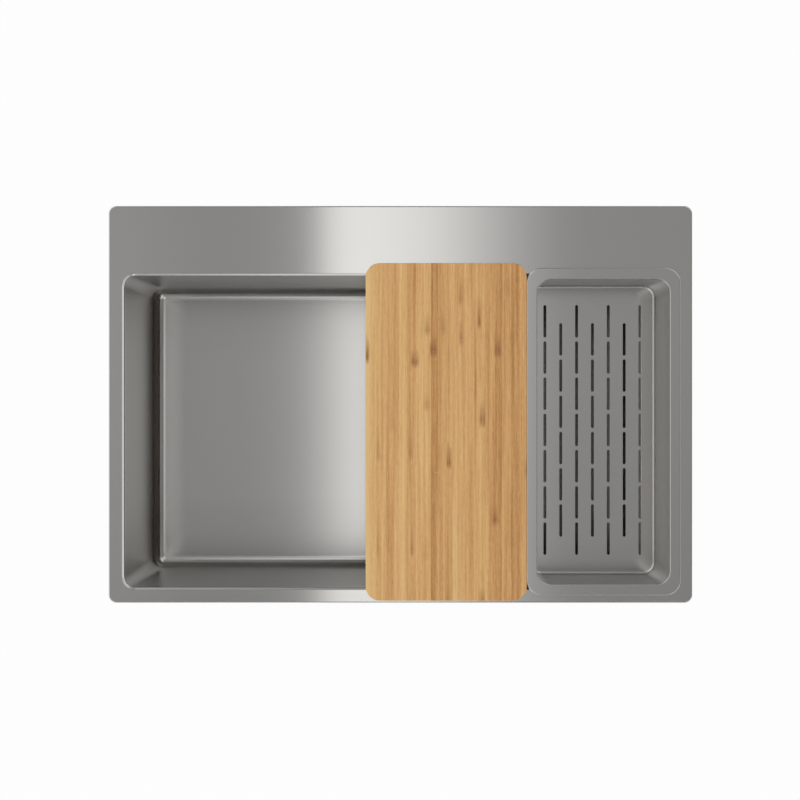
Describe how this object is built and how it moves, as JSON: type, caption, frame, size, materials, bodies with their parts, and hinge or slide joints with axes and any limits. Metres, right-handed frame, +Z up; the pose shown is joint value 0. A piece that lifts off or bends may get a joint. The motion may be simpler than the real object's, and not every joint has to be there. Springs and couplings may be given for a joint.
{
  "type": "kitchen sink",
  "caption": "Inset stainless steel kitchen sink with a wide single bowl, bare tap ledge, sliding bamboo board, slotted drainer tray, basket strainer waste and clamping clips.",
  "frame": {"origin": "middle of the sink on the plane where its rim and seal rest on the worktop", "axes": "+X right as the user stands, +Y to the back, where the tap ledge is, +Z up"},
  "size_m": [0.75, 0.51, 0.307],
  "materials": {
    "brushed_steel": "brushed along X",
    "polished_steel": "satin polished",
    "zinc_plated_steel": "zinc plated",
    "foam_seal": "closed-cell foam",
    "damping_rubber": "matt sheet",
    "black_rubber": "smooth",
    "white_plastic": "moulded polypropylene",
    "grey_plastic": "moulded",
    "bamboo": "oiled laminated bamboo"
  },
  "bodies": {
    "sink": {"deck_plate": "brushed_steel", "bowl": "brushed_steel", "rim_seal": "foam_seal", "rear_stiffener": "zinc_plated_steel", "clip_brackets": "zinc_plated_steel", "sound_pad_base": "damping_rubber", "waste_flange": "polished_steel", "flange_gasket": "black_rubber", "body_gasket": "black_rubber", "waste_body": "white_plastic", "clamp_screw": "polished_steel", "sound_pad_front": "damping_rubber", "sound_pad_rear": "damping_rubber", "sound_pad_left": "damping_rubber", "sound_pad_right": "damping_rubber"},
    "cutting_board": {"cutting_board": "bamboo"},
    "colander": {"colander": "brushed_steel"},
    "strainer_basket": {"basket_cup": "polished_steel", "basket_seal": "black_rubber", "basket_stem": "polished_steel", "basket_knob": "grey_plastic"},
    "clip_screw_1": {"clip_screw_1": "zinc_plated_steel"},
    "clip_nut_1": {"clip_nut_1": "zinc_plated_steel"},
    "clip_claw_1": {"clip_claw_1": "zinc_plated_steel"},
    "clip_screw_2": {"clip_screw_2": "zinc_plated_steel"},
    "clip_nut_2": {"clip_nut_2": "zinc_plated_steel"},
    "clip_claw_2": {"clip_claw_2": "zinc_plated_steel"},
    "clip_screw_3": {"clip_screw_3": "zinc_plated_steel"},
    "clip_nut_3": {"clip_nut_3": "zinc_plated_steel"},
    "clip_claw_3": {"clip_claw_3": "zinc_plated_steel"},
    "clip_screw_4": {"clip_screw_4": "zinc_plated_steel"},
    "clip_nut_4": {"clip_nut_4": "zinc_plated_steel"},
    "clip_claw_4": {"clip_claw_4": "zinc_plated_steel"},
    "clip_screw_5": {"clip_screw_5": "zinc_plated_steel"},
    "clip_nut_5": {"clip_nut_5": "zinc_plated_steel"},
    "clip_claw_5": {"clip_claw_5": "zinc_plated_steel"},
    "clip_screw_6": {"clip_screw_6": "zinc_plated_steel"},
    "clip_nut_6": {"clip_nut_6": "zinc_plated_steel"},
    "clip_claw_6": {"clip_claw_6": "zinc_plated_steel"},
    "clip_screw_7": {"clip_screw_7": "zinc_plated_steel"},
    "clip_nut_7": {"clip_nut_7": "zinc_plated_steel"},
    "clip_claw_7": {"clip_claw_7": "zinc_plated_steel"},
    "clip_screw_8": {"clip_screw_8": "zinc_plated_steel"},
    "clip_nut_8": {"clip_nut_8": "zinc_plated_steel"},
    "clip_claw_8": {"clip_claw_8": "zinc_plated_steel"}
  },
  "joints": [
    {"name": "board_slide", "type": "slide", "parent": "sink", "child": "cutting_board", "axis": [1, 0, 0], "range_m": [-0.305, 0]},
    {"name": "colander_lift", "type": "slide", "parent": "sink", "child": "colander", "axis": [0, 0, 1], "range_m": [0, 0.15]},
    {"name": "basket_lift", "type": "slide", "parent": "sink", "child": "strainer_basket", "axis": [0, 0, 1], "range_m": [0, 0.06]},
    {"name": "clip_screw_1_turn", "type": "hinge", "parent": "sink", "child": "clip_screw_1", "pos_m": [-0.23, -0.2418, -0.06], "axis": [0, 0, 1], "range_deg": [0, 17496]},
    {"name": "clip_nut_1_slide", "type": "slide", "parent": "sink", "child": "clip_nut_1", "axis": [0, 0, 1], "range_m": [0, 0.034]},
    {"name": "clip_claw_1_swing", "type": "hinge", "parent": "clip_nut_1", "child": "clip_claw_1", "pos_m": [-0.23, -0.2418, -0.0518], "axis": [0, 0, -1], "range_deg": [0, 90]},
    {"name": "clip_screw_2_turn", "type": "hinge", "parent": "sink", "child": "clip_screw_2", "pos_m": [-0.23, 0.2418, -0.06], "axis": [0, 0, 1], "range_deg": [0, 17496]},
    {"name": "clip_nut_2_slide", "type": "slide", "parent": "sink", "child": "clip_nut_2", "axis": [0, 0, 1], "range_m": [0, 0.034]},
    {"name": "clip_claw_2_swing", "type": "hinge", "parent": "clip_nut_2", "child": "clip_claw_2", "pos_m": [-0.23, 0.2418, -0.0518], "axis": [0, 0, -1], "range_deg": [0, 90]},
    {"name": "clip_screw_3_turn", "type": "hinge", "parent": "sink", "child": "clip_screw_3", "pos_m": [0.23, -0.2418, -0.06], "axis": [0, 0, 1], "range_deg": [0, 17496]},
    {"name": "clip_nut_3_slide", "type": "slide", "parent": "sink", "child": "clip_nut_3", "axis": [0, 0, 1], "range_m": [0, 0.034]},
    {"name": "clip_claw_3_swing", "type": "hinge", "parent": "clip_nut_3", "child": "clip_claw_3", "pos_m": [0.23, -0.2418, -0.0518], "axis": [0, 0, -1], "range_deg": [0, 90]},
    {"name": "clip_screw_4_turn", "type": "hinge", "parent": "sink", "child": "clip_screw_4", "pos_m": [0.23, 0.2418, -0.06], "axis": [0, 0, 1], "range_deg": [0, 17496]},
    {"name": "clip_nut_4_slide", "type": "slide", "parent": "sink", "child": "clip_nut_4", "axis": [0, 0, 1], "range_m": [0, 0.034]},
    {"name": "clip_claw_4_swing", "type": "hinge", "parent": "clip_nut_4", "child": "clip_claw_4", "pos_m": [0.23, 0.2418, -0.0518], "axis": [0, 0, -1], "range_deg": [0, 90]},
    {"name": "clip_screw_5_turn", "type": "hinge", "parent": "sink", "child": "clip_screw_5", "pos_m": [-0.3618, -0.155, -0.06], "axis": [0, 0, 1], "range_deg": [0, 17496]},
    {"name": "clip_nut_5_slide", "type": "slide", "parent": "sink", "child": "clip_nut_5", "axis": [0, 0, 1], "range_m": [0, 0.034]},
    {"name": "clip_claw_5_swing", "type": "hinge", "parent": "clip_nut_5", "child": "clip_claw_5", "pos_m": [-0.3618, -0.155, -0.0518], "axis": [0, 0, -1], "range_deg": [0, 90]},
    {"name": "clip_screw_6_turn", "type": "hinge", "parent": "sink", "child": "clip_screw_6", "pos_m": [0.3618, -0.155, -0.06], "axis": [0, 0, 1], "range_deg": [0, 17496]},
    {"name": "clip_nut_6_slide", "type": "slide", "parent": "sink", "child": "clip_nut_6", "axis": [0, 0, 1], "range_m": [0, 0.034]},
    {"name": "clip_claw_6_swing", "type": "hinge", "parent": "clip_nut_6", "child": "clip_claw_6", "pos_m": [0.3618, -0.155, -0.0518], "axis": [0, 0, -1], "range_deg": [0, 90]},
    {"name": "clip_screw_7_turn", "type": "hinge", "parent": "sink", "child": "clip_screw_7", "pos_m": [-0.3618, 0.085, -0.06], "axis": [0, 0, 1], "range_deg": [0, 17496]},
    {"name": "clip_nut_7_slide", "type": "slide", "parent": "sink", "child": "clip_nut_7", "axis": [0, 0, 1], "range_m": [0, 0.034]},
    {"name": "clip_claw_7_swing", "type": "hinge", "parent": "clip_nut_7", "child": "clip_claw_7", "pos_m": [-0.3618, 0.085, -0.0518], "axis": [0, 0, -1], "range_deg": [0, 90]},
    {"name": "clip_screw_8_turn", "type": "hinge", "parent": "sink", "child": "clip_screw_8", "pos_m": [0.3618, 0.085, -0.06], "axis": [0, 0, 1], "range_deg": [0, 17496]},
    {"name": "clip_nut_8_slide", "type": "slide", "parent": "sink", "child": "clip_nut_8", "axis": [0, 0, 1], "range_m": [0, 0.034]},
    {"name": "clip_claw_8_swing", "type": "hinge", "parent": "clip_nut_8", "child": "clip_claw_8", "pos_m": [0.3618, 0.085, -0.0518], "axis": [0, 0, -1], "range_deg": [0, 90]}
  ],
  "couplings": [
    {"joint": "clip_screw_1_turn", "follows": "clip_nut_1_slide", "rad_per_m": 8976},
    {"joint": "clip_screw_2_turn", "follows": "clip_nut_2_slide", "rad_per_m": 8976},
    {"joint": "clip_screw_3_turn", "follows": "clip_nut_3_slide", "rad_per_m": 8976},
    {"joint": "clip_screw_4_turn", "follows": "clip_nut_4_slide", "rad_per_m": 8976},
    {"joint": "clip_screw_5_turn", "follows": "clip_nut_5_slide", "rad_per_m": 8976},
    {"joint": "clip_screw_6_turn", "follows": "clip_nut_6_slide", "rad_per_m": 8976},
    {"joint": "clip_screw_7_turn", "follows": "clip_nut_7_slide", "rad_per_m": 8976},
    {"joint": "clip_screw_8_turn", "follows": "clip_nut_8_slide", "rad_per_m": 8976}
  ]
}
